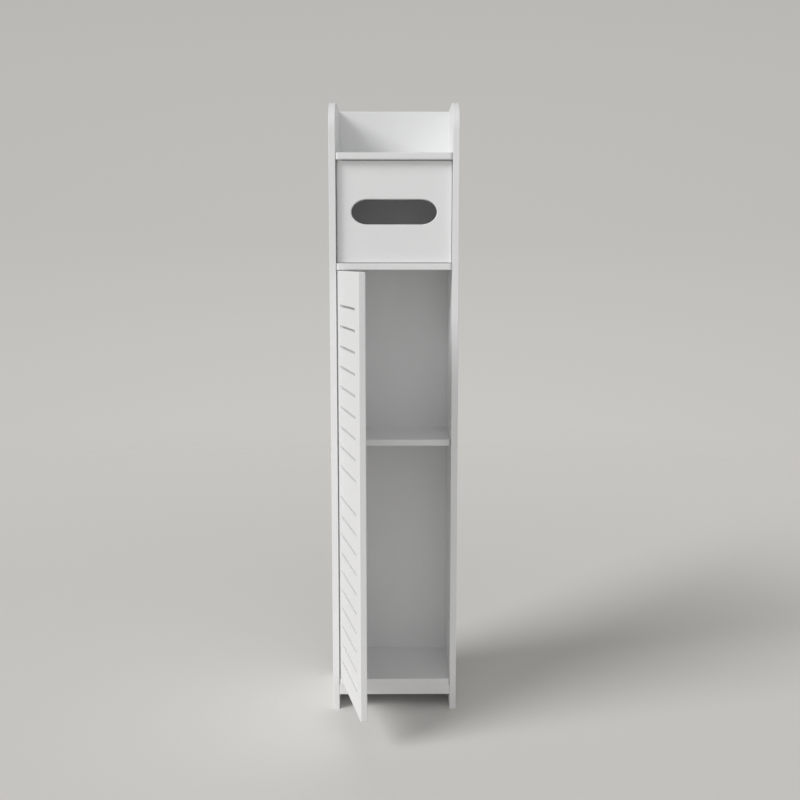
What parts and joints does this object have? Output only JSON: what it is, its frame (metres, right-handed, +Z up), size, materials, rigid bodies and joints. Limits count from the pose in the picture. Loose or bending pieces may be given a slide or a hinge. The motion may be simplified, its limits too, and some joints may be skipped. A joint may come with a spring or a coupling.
{
  "type": "bathroom cabinet",
  "caption": "Slim free-standing white bathroom cabinet with an open tray on top, a slotted tissue compartment door and a tall louvred cupboard door.",
  "frame": {"origin": "middle of the back panel's rear face at floor level, where the unit meets the wall and the floor", "axes": "+Z up, +Y towards the wall behind the unit, so the front faces -Y, and +X to the right of someone facing the front"},
  "size_m": [0.165, 0.2534, 0.8],
  "materials": {
    "board": "satin white plastic board",
    "door_board": "satin white plastic board",
    "bush": "moulded natural nylon",
    "steel": "zinc-plated steel",
    "magnet": "white-coated magnet"
  },
  "bodies": {
    "carcass": {"left_side_panel": "board", "right_side_panel": "board", "back_panel": "board", "tray_shelf": "board", "tissue_shelf": "board", "middle_shelf": "board", "bottom_board": "board", "kick_strip": "board", "tissue_stop_block": "board", "shelf_magnet": "magnet", "stop_magnet": "magnet", "door_bush_top": "bush", "door_bush_bottom": "bush", "tissue_door_bush_top": "bush", "tissue_door_bush_bottom": "bush"},
    "cupboard_door": {"louvre_door": "door_board", "door_strike_disc": "steel", "door_pin_top": "steel", "door_pin_bottom": "steel"},
    "tissue_compartment_door": {"tissue_door": "door_board", "tissue_door_strike_disc": "steel", "tissue_door_pin_top": "steel", "tissue_door_pin_bottom": "steel"}
  },
  "joints": [
    {"name": "door_hinge", "type": "hinge", "parent": "carcass", "child": "cupboard_door", "pos_m": [-0.06915, -0.11375, 0.31525], "axis": [0, 0, -1], "range_deg": [-77, 15]},
    {"name": "tissue_door_hinge", "type": "hinge", "parent": "carcass", "child": "tissue_compartment_door", "pos_m": [-0.06915, -0.10875, 0.66125], "axis": [0, 0, -1], "range_deg": [0, 91]}
  ]
}
